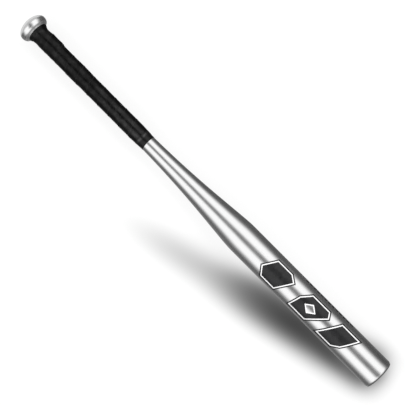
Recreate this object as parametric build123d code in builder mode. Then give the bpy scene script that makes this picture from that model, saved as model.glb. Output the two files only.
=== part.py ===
# One-piece aluminium-alloy baseball bat, 813 mm (32 in) long.
#
# The bat lies along +X. The origin is the centre of the flat end of the knob,
# +X runs towards the barrel's end, +Z is up. Every turned piece is a half
# profile on the XY plane (x along the bat, y as the radius) revolved about X.
from build123d import *
import math
import os

os.makedirs("parts", exist_ok=True)

# ---------------------------------------------------------------- shared dimensions
bat_length = 813.0          # knob end to outer face of the end cap

barrel_r = 27.0             # straight part of the barrel
barrel_start_x = 508.0
barrel_wall = 1.7
barrel_bore_r = barrel_r - barrel_wall

handle_r = 13.0             # handle under the grip
handle_wall = 2.4
handle_bore_r = handle_r - handle_wall
handle_cone_x = 160.0       # the handle starts to widen here
handle_top_x = 286.8        # end of the grip
handle_top_r = 13.65
cone_slope = (handle_top_r - handle_r) / (handle_top_x - handle_cone_x)

cap_flange = 2.0            # flange thickness
mouth_x = bat_length - cap_flange   # end of the tube
lip_r = 23.7                # inside radius of the retaining lip
lip_length = 4.5
lip_back_x = mouth_x - lip_length

socket_floor_x = 11.0       # the tube stands on this floor in the knob
knob_lip_x = 23.2           # the grip butts against this shoulder
neck_r = 17.2               # knob's neck at the shoulder
neck_end_x = 33.0
neck_end_r = 13.7

fit_gap = 0.05              # radial clearance of the end cap and of the plug head


def handle_radius(x):
    """Outside radius of the tube under the grip."""
    return handle_r + cone_slope * max(0.0, x - handle_cone_x)


def save(part, label):
    """Label a finished piece and write its STEP file."""
    part.label = label
    export_step(part, f"parts/{label}.step")


def turned(profile):
    """Solid made by revolving a straight-sided (x, radius) outline about X."""
    with BuildPart() as piece:
        with BuildSketch(Plane.XY):
            with BuildLine():
                Polyline(*profile, close=True)
            make_face()
        revolve(axis=Axis.X)
    return piece.part


# ---------------------------------------------------------------- bat tube
# Swaged from one seamless tube: thick handle, thin barrel, rolled-in mouth.
# Outside of the taper, (x, radius), from the end of the grip to the barrel.
outer_taper = [
    (handle_top_x, handle_top_r),
    (311.0, 14.10), (340.0, 15.08), (380.0, 17.16), (412.5, 19.46),
    (445.0, 22.32), (478.0, 25.29), (493.5, 26.56),
    (barrel_start_x, barrel_r),
]

mouth_r = 26.2              # outside radius of the rolled mouth
mouth_roll = 3.2            # length over which the mouth is rolled in
roll_start_x = mouth_x - mouth_roll
# a point on the roll's arc, as fractions of its length and of its drop
roll_mid = (mouth_x - 0.35 * mouth_roll, barrel_r - 0.28 * (barrel_r - mouth_r))
lip_ramp = 1.6              # length of the slope from the lip to the bore
lip_ramp_x = lip_back_x - lip_ramp


def wall_at(x):
    """Wall thickness in the taper, thinning evenly towards the barrel."""
    share = (x - handle_top_x) / (barrel_start_x - handle_top_x)
    return handle_wall + (barrel_wall - handle_wall) * share


inner_taper = [(x, r - wall_at(x)) for x, r in outer_taper]

with BuildPart() as bat_tube:
    with BuildSketch(Plane.XY):
        with BuildLine():
            # outside, from the knob to the mouth
            Line((socket_floor_x, handle_r), (handle_cone_x, handle_r))
            Line((handle_cone_x, handle_r), (handle_top_x, handle_top_r))
            Spline(*outer_taper, tangents=[(1, cone_slope), (1, 0)])
            Line((barrel_start_x, barrel_r), (roll_start_x, barrel_r))
            ThreePointArc((roll_start_x, barrel_r), roll_mid, (mouth_x, mouth_r))
            # mouth and lip
            Line((mouth_x, mouth_r), (mouth_x, lip_r))
            Line((mouth_x, lip_r), (lip_back_x, lip_r))
            Line((lip_back_x, lip_r), (lip_ramp_x, barrel_bore_r))
            # bore, back to the knob
            Line((lip_ramp_x, barrel_bore_r), (barrel_start_x, barrel_bore_r))
            Spline(*reversed(inner_taper), tangents=[(-1, 0), (-1, -cone_slope)])
            Line(inner_taper[0], (handle_cone_x, handle_bore_r))
            Line((handle_cone_x, handle_bore_r), (socket_floor_x, handle_bore_r))
            Line((socket_floor_x, handle_bore_r), (socket_floor_x, handle_r))
        make_face()
    revolve(axis=Axis.X)
save(bat_tube.part, "bat_tube")

# ---------------------------------------------------------------- end cap
# Moulded urethane cap: thin flange outside, skirt with a snap rib inside.
cap_flange_r = 25.8
cap_rim_fillet = 1.2
cap_dish_r = 15.0           # shallow dish in the outer face
cap_dish_depth = 1.2
dish_floor_x = bat_length - cap_dish_depth
dish_mid = (bat_length - 0.55 * cap_dish_depth, cap_dish_r - 3.2)

cap_wall = 2.6
skirt_r = lip_r - fit_gap
skirt_tip_x = bat_length - 15.0
skirt_tip_r = skirt_r - 0.8
rib_r = barrel_bore_r - 0.15
rib_x = lip_back_x - 1.8    # face of the rib behind the tube's lip
rib_start_x = rib_x - 4.0   # the slope from the skirt's tip ends here

cavity_r = skirt_r - cap_wall
cavity_floor_x = mouth_x - 1.6
cavity_chamfer = 2.0

with BuildPart() as end_cap:
    with BuildSketch(Plane.XY):
        with BuildLine():
            Polyline(
                (dish_floor_x, 0),
                (cavity_floor_x, 0),
                (cavity_floor_x, cavity_r - cavity_chamfer),
                (cavity_floor_x - cavity_chamfer, cavity_r),
                (skirt_tip_x, cavity_r),
                (skirt_tip_x, skirt_tip_r),
                (rib_start_x, rib_r),
                (rib_x, rib_r),
                (rib_x, skirt_r),
                (mouth_x, skirt_r),
                (mouth_x, cap_flange_r),
                (bat_length, cap_flange_r),
                (bat_length, cap_dish_r),
            )
            Spline((bat_length, cap_dish_r), dish_mid, (dish_floor_x, 0),
                   tangents=[(-0.5, -1), (0, -1)])
        make_face()
    revolve(axis=Axis.X)
    # outer edge of the flange, on the cap's end face
    rim = end_cap.edges().filter_by(GeomType.CIRCLE).filter_by(
        lambda edge: abs(edge.radius - cap_flange_r) < 0.01
        and abs(edge.center(CenterOf.BOUNDING_BOX).X - bat_length) < 0.01)
    fillet(rim, radius=cap_rim_fillet)
save(end_cap.part, "end_cap")

# ---------------------------------------------------------------- knob
# Turned from bar: elliptical dome, sloping back, neck under the grip, socket.
knob_r = 25.5
knob_dome = 14.0            # half-axis of the elliptical dome along the bat
knob_flat_r = 10.0          # flat at the very end
knob_shoulder = [(16.4, 25.05), (19.2, 23.95)]  # (x, radius), widest point to crease
knob_back_x = 20.6          # crease where the back slope starts
knob_back_r = 22.6
knob_lip_r = 19.2
neck_mid = (27.2, 14.75)    # a point on the neck's arc

plug_r = 7.0                # bore through the knob's end, closed by the plug
plug_head_r = 8.5
plug_head = 1.6             # thickness of the plug's head
recess_r = plug_head_r + fit_gap
recess_depth = plug_head + 0.1


def dome_x(r):
    """Distance of the dome's surface from the knob's end at radius r."""
    return dome_centre_x - knob_dome * math.sqrt(max(0.0, 1 - (r / knob_r) ** 2))


dome_centre_x = knob_dome * math.sqrt(1 - (knob_flat_r / knob_r) ** 2)
dome_steps = 8
# sine spacing puts more points near the widest part
dome_radii = [knob_flat_r + (knob_r - knob_flat_r) * math.sin(math.pi / 2 * i / dome_steps)
              for i in range(dome_steps + 1)]
dome_points = [(dome_x(r), r) for r in dome_radii]

with BuildPart() as knob:
    with BuildSketch(Plane.XY):
        with BuildLine():
            Polyline((0, recess_r), (0, knob_flat_r))
            Spline(*dome_points, tangents=[(0.45, 1), (1, 0)])
            Spline((dome_centre_x, knob_r), *knob_shoulder, (knob_back_x, knob_back_r),
                   tangents=[(1, 0), (0.55, -1)])
            Line((knob_back_x, knob_back_r), (knob_lip_x, knob_lip_r))
            Line((knob_lip_x, knob_lip_r), (knob_lip_x, neck_r))
            ThreePointArc((knob_lip_x, neck_r), neck_mid, (neck_end_x, neck_end_r))
            # socket for the tube, bore and recess for the plug
            Polyline(
                (neck_end_x, neck_end_r),
                (neck_end_x, handle_r),
                (socket_floor_x, handle_r),
                (socket_floor_x, plug_r),
                (recess_depth, plug_r),
                (recess_depth, recess_r),
                (0, recess_r),
            )
        make_face()
    revolve(axis=Axis.X)
save(knob.part, "knob")

# Weld bead between the knob's neck and the handle.
bead_length = 3.4
bead_end_x = neck_end_x + bead_length
bead_top_r = neck_end_r + 0.1
bead_mid = (neck_end_x + 0.62 * bead_length, handle_r + 0.85)

with BuildPart() as knob_weld_bead:
    with BuildSketch(Plane.XY):
        with BuildLine():
            Polyline((bead_end_x, handle_r), (neck_end_x, handle_r), (neck_end_x, bead_top_r))
            ThreePointArc((neck_end_x, bead_top_r), bead_mid, (bead_end_x, handle_r))
        make_face()
    revolve(axis=Axis.X)
save(knob_weld_bead.part, "knob_weld_bead")

# Rubber plug that closes the knob's bore, flush with its flat end.
plug_shank_r = plug_r - 0.02
plug_tip_x = socket_floor_x + 5.0
plug_tip_r = plug_r - 1.6
plug_taper = 2.0            # length of the tapered tip

save(turned([
    (0, 0),
    (0, plug_head_r),
    (plug_head, plug_head_r),
    (plug_head, plug_shank_r),
    (plug_tip_x - plug_taper, plug_shank_r),
    (plug_tip_x, plug_tip_r),
    (plug_tip_x, 0),
]), "knob_plug")

# ---------------------------------------------------------------- damping plug
# Foam plug pressed into the throat; keeps grit away from the handle.
damper_start_x = 398.0
damper_length = 36.0
damper_end_x = damper_start_x + damper_length
damper_gap = 0.15
damper_chamfer = 1.5


def bore_radius(x):
    """Bore radius in the taper, straight between the stations of inner_taper."""
    for (x_before, r_before), (x_after, r_after) in zip(inner_taper, inner_taper[1:]):
        if x_before <= x <= x_after:
            return r_before + (r_after - r_before) * (x - x_before) / (x_after - x_before)


damper_stations = [damper_start_x,
                   *[x for x, r in inner_taper if damper_start_x < x < damper_end_x],
                   damper_end_x]

with BuildPart() as throat_damping_plug:
    with BuildSketch(Plane.XY):
        with BuildLine():
            Polyline((damper_start_x, 0),
                     *[(x, bore_radius(x) - damper_gap) for x in damper_stations],
                     (damper_end_x, 0), close=True)
        make_face()
    revolve(axis=Axis.X)
    # the edge nearest the knob first, then the one nearest the barrel's end
    for end in (0, -1):
        chamfer(throat_damping_plug.edges().filter_by(GeomType.CIRCLE).sort_by(Axis.X)[end],
                length=damper_chamfer)
save(throat_damping_plug.part, "throat_damping_plug")

# ---------------------------------------------------------------- grip
# Double-sided tape wound on the handle before the wrap.
underlay_start_x = 37.5
underlay_end_x = 277.5
underlay_t = 0.3

save(turned([
    (underlay_start_x, handle_r),
    (handle_cone_x, handle_r),
    (underlay_end_x, handle_radius(underlay_end_x)),
    (underlay_end_x, handle_radius(underlay_end_x) + underlay_t),
    (handle_cone_x, handle_r + underlay_t),
    (underlay_start_x, handle_r + underlay_t),
]), "grip_underlay")

# Extra layer under the first turns, which makes the grip thicker by the knob.
build_up_start_x = 38.5
build_up_end_x = 74.0
build_up_t = 0.8
build_up_edge_t = 0.15      # thickness left at the feathered end
build_up_feather = 6.0
build_up_in = handle_r + underlay_t + 0.02
build_up_out = build_up_in + build_up_t

save(turned([
    (build_up_start_x, build_up_in),
    (build_up_end_x, build_up_in),
    (build_up_end_x, build_up_in + build_up_edge_t),
    (build_up_end_x - build_up_feather, build_up_out),
    (build_up_start_x, build_up_out),
]), "grip_build_up")

# Synthetic-leather strip, held here as the sleeve it forms on the handle.
wrap_start_x = knob_lip_x + 0.02
wrap_end_x = 279.0
wrap_gap = 0.05             # over the layers below
wrap_end_gap = 0.03         # over the bare handle
wrap_end_height = 0.32      # outside of the wrap's end above the handle
wrap_in = build_up_out + wrap_gap
under_wrap = underlay_t + wrap_gap
underlay_step_top_x = underlay_end_x + 0.2
underlay_step_foot_x = underlay_end_x + 0.6

# (x, radius) of the inside over the knob's neck
wrap_neck_inside = [(27.2, 15.05), (31.0, 14.25)]
# (x, radius) of the outside, from the tapered end back to the knob
wrap_outside = [
    (271.5, 14.55), (267.5, 14.90), (261.0, 15.18), (218.0, 15.12), (208.0, 15.02),
    (141.0, 15.10), (131.0, 15.42), (121.0, 15.64), (110.0, 15.64), (104.0, 15.37),
    (77.0, 15.27), (67.0, 15.80), (56.7, 15.84), (53.3, 16.12), (43.2, 16.06),
    (36.4, 15.32), (33.0, 15.20), (29.6, 15.65), (26.2, 17.75), (24.0, 18.60),
    (wrap_start_x, 18.50),
]

save(turned([
    (wrap_start_x, neck_r + 0.25),
    *wrap_neck_inside,
    (neck_end_x, wrap_in + 0.1),
    (build_up_start_x, wrap_in),
    (build_up_end_x - 5.9, wrap_in),
    (build_up_end_x + 1.5, handle_r + under_wrap),
    (handle_cone_x, handle_r + under_wrap),
    (underlay_step_top_x, handle_radius(underlay_step_top_x) + under_wrap),
    (underlay_step_foot_x, handle_radius(underlay_step_foot_x) + wrap_end_gap),
    (wrap_end_x, handle_radius(wrap_end_x) + wrap_end_gap),
    (wrap_end_x, handle_radius(wrap_end_x) + wrap_end_height),
    *wrap_outside,
]), "grip_wrap")

# Thin tape that closes the wrap's tapered end on the bare handle.
tape_start_x = 270.5
tape_end_x = handle_top_x - 0.3
tape_step_top_x = wrap_end_x + 0.05     # inside, over the wrap's end
tape_step_foot_x = wrap_end_x + 0.5     # inside, down on the handle
tape_gap = 0.02

save(turned([
    (tape_start_x, 14.69),
    (271.5, 14.60),
    (tape_step_top_x, handle_radius(wrap_end_x) + 0.38),
    (tape_step_foot_x, handle_radius(tape_step_foot_x) + tape_gap),
    (tape_end_x, handle_radius(tape_end_x) + tape_gap),
    (tape_end_x, handle_top_r + 0.2),
    (wrap_end_x + 1.0, handle_top_r + 0.28),
    (271.6, 14.82),
    (tape_start_x, 14.90),
]), "grip_finishing_tape")

# ---------------------------------------------------------------- print
# Ink layers on the upper side of the barrel: each is a flat design extruded
# upwards and cut down to a shell one ink layer thick.
print_t = 0.08              # ink thickness
ink_r = barrel_r + print_t
ink_start_x = 546.0         # the shell spans all the designs
ink_end_x = 763.0
design_height = barrel_r + 5.0  # clears the top of the barrel

inline_w = 1.7              # white line round each block
outline_w = 2.1             # dark line round the white one
# printed blocks, seen from above: (x, y) corners of the dark fill
print_blocks = [
    [(559.0, -8.0), (568.5, -20.3), (596.0, -20.3), (612.5, 6.5), (602.0, 13.9), (572.5, 13.9)],
    [(632.0, -20.3), (665.0, -20.3), (690.5, 6.0), (685.5, 13.9), (650.0, 13.9), (637.0, -1.0)],
    [(694.0, -20.3), (723.0, -20.3), (734.5, -12.0), (749.5, 13.9), (715.0, 13.9)],
]
# diamond window in the middle block
print_window = [(648.0, -3.4), (660.0, -12.4), (672.0, -3.4), (660.0, 5.6)]


def offset_polygon(corners, amount):
    """Flat polygon grown by amount (shrunk if negative), with sharp corners."""
    with BuildSketch(mode=Mode.PRIVATE) as polygon:
        with BuildLine():
            Polyline(*corners, close=True)
        make_face()
        offset(amount=amount, kind=Kind.INTERSECTION)
    return polygon.sketch


def ink_layer(design):
    """Ink on the barrel's upper side wherever the flat design lies below it."""
    with BuildPart() as layer:
        with BuildSketch(Plane.XY):
            add(design)
        extrude(amount=design_height)
        with BuildSketch(Plane.XY):
            with BuildLine():
                Polyline((ink_start_x, barrel_r), (ink_end_x, barrel_r),
                         (ink_end_x, ink_r), (ink_start_x, ink_r), close=True)
            make_face()
        revolve(axis=Axis.X, mode=Mode.INTERSECT)
    return layer.part


# Dark outlines and fills, with the window left open.
with BuildSketch(Plane.XY) as dark_design:
    for corners in print_blocks:
        add(offset_polygon(corners, inline_w + outline_w))
        add(offset_polygon(corners, inline_w), mode=Mode.SUBTRACT)
    for corners in print_blocks:
        with BuildLine():
            Polyline(*corners, close=True)
        make_face()
    with BuildLine():
        Polyline(*print_window, close=True)
    make_face(mode=Mode.SUBTRACT)
save(ink_layer(dark_design.sketch), "print_dark")

# White lines round the blocks and just inside the window's edge.
with BuildSketch(Plane.XY) as white_design:
    for corners in print_blocks:
        add(offset_polygon(corners, inline_w))
    for corners in print_blocks:
        with BuildLine():
            Polyline(*corners, close=True)
        make_face(mode=Mode.SUBTRACT)
    with BuildLine():
        Polyline(*print_window, close=True)
    make_face()
    add(offset_polygon(print_window, -inline_w), mode=Mode.SUBTRACT)
save(ink_layer(white_design.sketch), "print_white")

# Row of small equal bars along the +Y side of the barrel.
dash_count = 13
dash_pitch = 8.15
dash_length = 5.8
dash_start_x = 625.0
dash_low_y = 24.3
dash_high_y = 26.0

with BuildSketch(Plane.XY) as dash_design:
    for i in range(dash_count):
        with Locations((dash_start_x + i * dash_pitch + dash_length / 2,
                        (dash_low_y + dash_high_y) / 2)):
            Rectangle(dash_length, dash_high_y - dash_low_y)
save(ink_layer(dash_design.sketch), "print_side_dashes")
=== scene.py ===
import math

import bmesh
import bpy
import numpy as np
from mathutils import Matrix, Vector


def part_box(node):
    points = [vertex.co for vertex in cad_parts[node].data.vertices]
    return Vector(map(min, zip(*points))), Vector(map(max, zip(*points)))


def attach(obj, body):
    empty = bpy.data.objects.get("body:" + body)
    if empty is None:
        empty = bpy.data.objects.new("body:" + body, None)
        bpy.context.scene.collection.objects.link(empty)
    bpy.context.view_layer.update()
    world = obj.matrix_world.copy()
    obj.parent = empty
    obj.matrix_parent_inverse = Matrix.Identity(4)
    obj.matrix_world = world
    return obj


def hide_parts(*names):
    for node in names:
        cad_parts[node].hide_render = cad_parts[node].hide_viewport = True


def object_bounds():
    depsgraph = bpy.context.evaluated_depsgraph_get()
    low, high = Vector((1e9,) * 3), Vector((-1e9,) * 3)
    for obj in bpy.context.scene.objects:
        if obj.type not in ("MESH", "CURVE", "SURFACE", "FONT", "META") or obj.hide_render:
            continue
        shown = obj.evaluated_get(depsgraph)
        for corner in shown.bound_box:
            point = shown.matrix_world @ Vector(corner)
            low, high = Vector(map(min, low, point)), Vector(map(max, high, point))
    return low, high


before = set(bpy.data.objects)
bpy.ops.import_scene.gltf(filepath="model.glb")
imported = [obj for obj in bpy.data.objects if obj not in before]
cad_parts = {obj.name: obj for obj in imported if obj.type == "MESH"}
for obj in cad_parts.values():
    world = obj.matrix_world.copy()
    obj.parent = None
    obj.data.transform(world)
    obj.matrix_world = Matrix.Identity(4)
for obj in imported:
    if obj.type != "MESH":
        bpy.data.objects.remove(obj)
cad_lo, cad_hi = [list(v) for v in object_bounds()]
MM = 0.001

# ------------------------------------------------------------------ shape tables
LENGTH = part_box("end_cap")[1].x / MM
BARREL_R = 27.0
BARREL_X = 508.0
HANDLE_R, HANDLE_CONE_X = 13.0, 160.0
HANDLE_TOP_X, HANDLE_TOP_R = 286.8, 13.65
TAPER = [(311.0, 14.10), (340.0, 15.08), (380.0, 17.16), (412.5, 19.46), (445.0, 22.32), (478.0, 25.29), (493.5, 26.56)]
MOUTH_X = LENGTH - 2.0


def spline(points, s0, s1, step):
    """Clamped cubic through (x, r) points, sampled about every step."""
    p = np.array(points, float)
    x, y = p[:, 0], p[:, 1]
    n = len(x)
    h = np.diff(x)
    a = np.zeros((n, n))
    b = np.zeros(n)
    a[0, 0], a[0, 1] = 2 * h[0], h[0]
    b[0] = 6 * ((y[1] - y[0]) / h[0] - s0)
    a[-1, -2], a[-1, -1] = h[-1], 2 * h[-1]
    b[-1] = 6 * (s1 - (y[-1] - y[-2]) / h[-1])
    for i in range(1, n - 1):
        a[i, i - 1], a[i, i], a[i, i + 1] = h[i - 1], 2 * (h[i - 1] + h[i]), h[i]
        b[i] = 6 * ((y[i + 1] - y[i]) / h[i] - (y[i] - y[i - 1]) / h[i - 1])
    m = np.linalg.solve(a, b)
    xs = np.linspace(x[0], x[-1], max(3, int(round((x[-1] - x[0]) / step)) + 1))
    k = np.clip(np.searchsorted(x, xs, side="right") - 1, 0, n - 2)
    d = xs - x[k]
    hk = h[k]
    ys = (y[k] + d * ((y[k + 1] - y[k]) / hk - hk * (2 * m[k] + m[k + 1]) / 6)
          + d * d * m[k] / 2 + d ** 3 * (m[k + 1] - m[k]) / (6 * hk))
    return np.column_stack([xs, ys])


def line(p, q, step):
    n = max(1, int(round(math.dist(p, q) / step)))
    t = np.linspace(0, 1, n + 1)[:, None]
    return np.array(p, float) * (1 - t) + np.array(q, float) * t


def arc3(p, q, r, n):
    """Circle through three points, sampled from p to r."""
    (ax, ay), (bx, by), (cx, cy) = p, q, r
    d = 2 * (ax * (by - cy) + bx * (cy - ay) + cx * (ay - by))
    ux = ((ax * ax + ay * ay) * (by - cy) + (bx * bx + by * by) * (cy - ay) + (cx * cx + cy * cy) * (ay - by)) / d
    uy = ((ax * ax + ay * ay) * (cx - bx) + (bx * bx + by * by) * (ax - cx) + (cx * cx + cy * cy) * (bx - ax)) / d
    a0, am, a1 = (math.atan2(y - uy, x - ux) for x, y in (p, q, r))
    two = 2 * math.pi
    span = (a1 - a0) % two
    if (am - a0) % two > span:
        span -= two
    rad = math.hypot(ax - ux, ay - uy)
    t = a0 + span * np.linspace(0, 1, n)
    return np.column_stack([ux + rad * np.cos(t), uy + rad * np.sin(t)])


def joined(*runs):
    """Runs of points end to end, without repeats."""
    out = []
    for run in runs:
        for q in run:
            if not out or math.dist(out[-1], q) > 1e-6:
                out.append((float(q[0]), float(q[1])))
    if math.dist(out[0], out[-1]) < 1e-6:
        out.pop()
    return out


# ------------------------------------------------------------------ mesh helpers
def to_object(name, verts, faces, sharp=32.0, recalc=True):
    """A smooth-shaded mesh object from points in mm."""
    mesh = bpy.data.meshes.new(name)
    mesh.from_pydata((np.asarray(verts, float) * MM).tolist(), [], [tuple(int(i) for i in f) for f in faces])
    mesh.validate()
    if recalc:
        bm = bmesh.new()
        bm.from_mesh(mesh)
        bmesh.ops.recalc_face_normals(bm, faces=bm.faces)
        bm.to_mesh(mesh)
        bm.free()
    mesh.shade_smooth()
    mesh.set_sharp_from_angle(angle=math.radians(sharp))
    obj = bpy.data.objects.new(name, mesh)
    bpy.context.scene.collection.objects.link(obj)
    return obj


def revolved(name, loop, segments=256, sharp=32.0, wobble=None):
    """A closed (x, r) loop turned about the bat's axis. wobble(x, r, angle) moves points radially."""
    verts, rings, faces = [], [], []
    ang = np.arange(segments) * 2 * math.pi / segments
    for x, r in loop:
        if r < 1e-6:
            rings.append([len(verts)])
            verts.append((x, 0.0, 0.0))
            continue
        rr = np.full(segments, r) if wobble is None else r + wobble(x, r, ang)
        rings.append(list(range(len(verts), len(verts) + segments)))
        verts.extend(zip([x] * segments, rr * np.cos(ang), rr * np.sin(ang)))
    n = len(rings)
    for i in range(n):
        a, b = rings[i], rings[(i + 1) % n]
        if len(a) == 1 and len(b) == 1:
            continue
        for k in range(segments):
            k2 = (k + 1) % segments
            if len(a) == 1:
                faces.append((a[0], b[k2], b[k]))
            elif len(b) == 1:
                faces.append((a[k], a[k2], b[0]))
            else:
                faces.append((a[k], a[k2], b[k2], b[k]))
    return to_object(name, verts, faces, sharp)


def finish_piece(obj, slot, material, *nodes):
    obj.data.materials.clear()
    obj.data.materials.append(material)
    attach(obj, "root")
    if nodes:
        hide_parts(*nodes)
    return obj


# ------------------------------------------------------------------ node helpers
class Shader:
    """A small builder for one material's nodes."""

    def __init__(self, name):
        self.mat = bpy.data.materials.new(name)
        self.mat.use_nodes = True
        self.nt = self.mat.node_tree
        self.nt.nodes.clear()
        self.out = self.nt.nodes.new("ShaderNodeOutputMaterial")
        self.bsdf = self.nt.nodes.new("ShaderNodeBsdfPrincipled")
        self.nt.links.new(self.bsdf.outputs[0], self.out.inputs[0])
        tc = self.nt.nodes.new("ShaderNodeTexCoord")
        scale = self.vec("SCALE", tc.outputs["Object"], scale=1000.0)
        self.p = scale                       # position in mm

    def link(self, a, b):
        if isinstance(a, (int, float)):
            b.default_value = a
        elif isinstance(a, tuple):
            b.default_value = a if len(a) == len(b.default_value) else (*a, 1.0)
        else:
            self.nt.links.new(a, b)

    def math(self, op, a, b=0.0, c=0.0, clamp=False):
        n = self.nt.nodes.new("ShaderNodeMath")
        n.operation = op
        n.use_clamp = clamp
        for v, s in zip((a, b, c), n.inputs):
            self.link(v, s)
        return n.outputs[0]

    def vec(self, op, a, b=None, scale=None):
        n = self.nt.nodes.new("ShaderNodeVectorMath")
        n.operation = op
        self.link(a, n.inputs[0])
        if b is not None:
            self.link(b, n.inputs[1])
        if scale is not None:
            self.link(scale, n.inputs["Scale"])
        return n.outputs["Value"] if op in ("LENGTH", "DOT_PRODUCT") else n.outputs[0]

    def xyz(self, v):
        n = self.nt.nodes.new("ShaderNodeSeparateXYZ")
        self.link(v, n.inputs[0])
        return n.outputs

    def combine(self, x, y, z):
        n = self.nt.nodes.new("ShaderNodeCombineXYZ")
        for v, s in zip((x, y, z), n.inputs):
            self.link(v, s)
        return n.outputs[0]

    def noise(self, v, scale=1.0, detail=4.0, rough=0.55, distortion=0.0):
        n = self.nt.nodes.new("ShaderNodeTexNoise")
        self.link(v, n.inputs["Vector"])
        n.inputs["Scale"].default_value = scale
        n.inputs["Detail"].default_value = detail
        n.inputs["Roughness"].default_value = rough
        n.inputs["Distortion"].default_value = distortion
        return n.outputs[0]

    def voronoi(self, v, scale=1.0, feature="F1", out="Distance", randomness=1.0):
        n = self.nt.nodes.new("ShaderNodeTexVoronoi")
        n.feature = feature
        self.link(v, n.inputs["Vector"])
        n.inputs["Scale"].default_value = scale
        n.inputs["Randomness"].default_value = randomness
        return n.outputs[out]

    def ramp(self, fac, stops, interpolation="LINEAR"):
        n = self.nt.nodes.new("ShaderNodeValToRGB")
        n.color_ramp.interpolation = interpolation
        el = n.color_ramp.elements
        while len(el) > 1:
            el.remove(el[-1])
        for i, (pos, col) in enumerate(stops):
            e = el[0] if i == 0 else el.new(pos)
            e.position = pos
            if isinstance(col, (int, float)):
                col = (col, col, col)
            e.color = (*col, 1.0)
        self.link(fac, n.inputs[0])
        return n.outputs[0]

    def range(self, v, a, b, c, d, clamp=True, kind="LINEAR"):
        n = self.nt.nodes.new("ShaderNodeMapRange")
        n.clamp = clamp
        n.interpolation_type = kind
        for val, s in zip((v, a, b, c, d), n.inputs):
            self.link(val, s)
        return n.outputs[0]

    def mix(self, fac, a, b, blend="MIX"):
        n = self.nt.nodes.new("ShaderNodeMix")
        n.data_type = "RGBA"
        n.blend_type = blend
        self.link(fac, n.inputs[0])
        self.link(a, n.inputs[6])
        self.link(b, n.inputs[7])
        return n.outputs[2]

    def bump(self, height, strength, distance, normal=None):
        n = self.nt.nodes.new("ShaderNodeBump")
        n.inputs["Strength"].default_value = strength
        n.inputs["Distance"].default_value = distance
        self.link(height, n.inputs["Height"])
        if normal is not None:
            self.link(normal, n.inputs["Normal"])
        return n.outputs[0]

    def uv(self, name):
        n = self.nt.nodes.new("ShaderNodeUVMap")
        n.uv_map = name
        return n.outputs[0]

    def set(self, **kw):
        for k, v in kw.items():
            self.link(v, self.bsdf.inputs[k.replace("_", " ")])


def satin_aluminium(name, colour, rough, turned=0.5, smudge=1.0):
    """Satin metal with fine lines round the axis, faint handling haze and a few hairline marks."""
    s = Shader(name)
    x, y, z = s.xyz(s.p)[:3]
    lines = s.noise(s.combine(s.math("MULTIPLY", x, 7.0), s.math("MULTIPLY", y, 0.09), s.math("MULTIPLY", z, 0.09)), 1.0, 5.0, 0.62)
    coarse = s.noise(s.combine(s.math("MULTIPLY", x, 0.9), s.math("MULTIPLY", y, 0.03), s.math("MULTIPLY", z, 0.03)), 1.0, 3.0, 0.5)
    haze = s.noise(s.p, 0.035, 4.0, 0.6, 0.4)
    # hairlines: thin slanted streaks, kept only where a broad noise allows them
    slant = s.combine(s.math("MULTIPLY", s.math("ADD", x, s.math("MULTIPLY", y, 1.7)), 0.55), s.math("MULTIPLY", y, 0.012), s.math("MULTIPLY", z, 0.30))
    hair = s.ramp(s.noise(slant, 1.0, 1.0, 0.4), [(0.0, 0.0), (0.492, 0.0), (0.5, 1.0), (0.508, 0.0), (1.0, 0.0)])
    where = s.ramp(s.noise(s.p, 0.02, 2.0, 0.5), [(0.0, 0.0), (0.56, 0.0), (0.66, 1.0), (1.0, 1.0)])
    hair = s.math("MULTIPLY", hair, where)
    tone = s.math("ADD", s.math("MULTIPLY", s.math("SUBTRACT", lines, 0.5), 0.10), s.math("MULTIPLY", s.math("SUBTRACT", coarse, 0.5), 0.05))
    tone = s.math("ADD", tone, s.math("MULTIPLY", s.math("SUBTRACT", haze, 0.5), 0.06 * smudge))
    tone = s.math("ADD", 1.0, tone)
    s.set(Base_Color=s.vec("SCALE", colour, scale=tone), Metallic=1.0)
    r = s.math("ADD", rough, s.math("MULTIPLY", s.math("SUBTRACT", lines, 0.5), 0.10))
    r = s.math("ADD", r, s.math("MULTIPLY", s.math("SUBTRACT", haze, 0.5), 0.10 * smudge))
    r = s.math("ADD", r, s.math("MULTIPLY", hair, 0.10), clamp=True)
    s.set(Roughness=r)
    n1 = s.bump(lines, 0.35 * turned, 0.00003)
    n2 = s.bump(s.math("MULTIPLY", hair, -1.0), 0.2, 0.00002, n1)
    s.set(Normal=n2)
    return s


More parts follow.
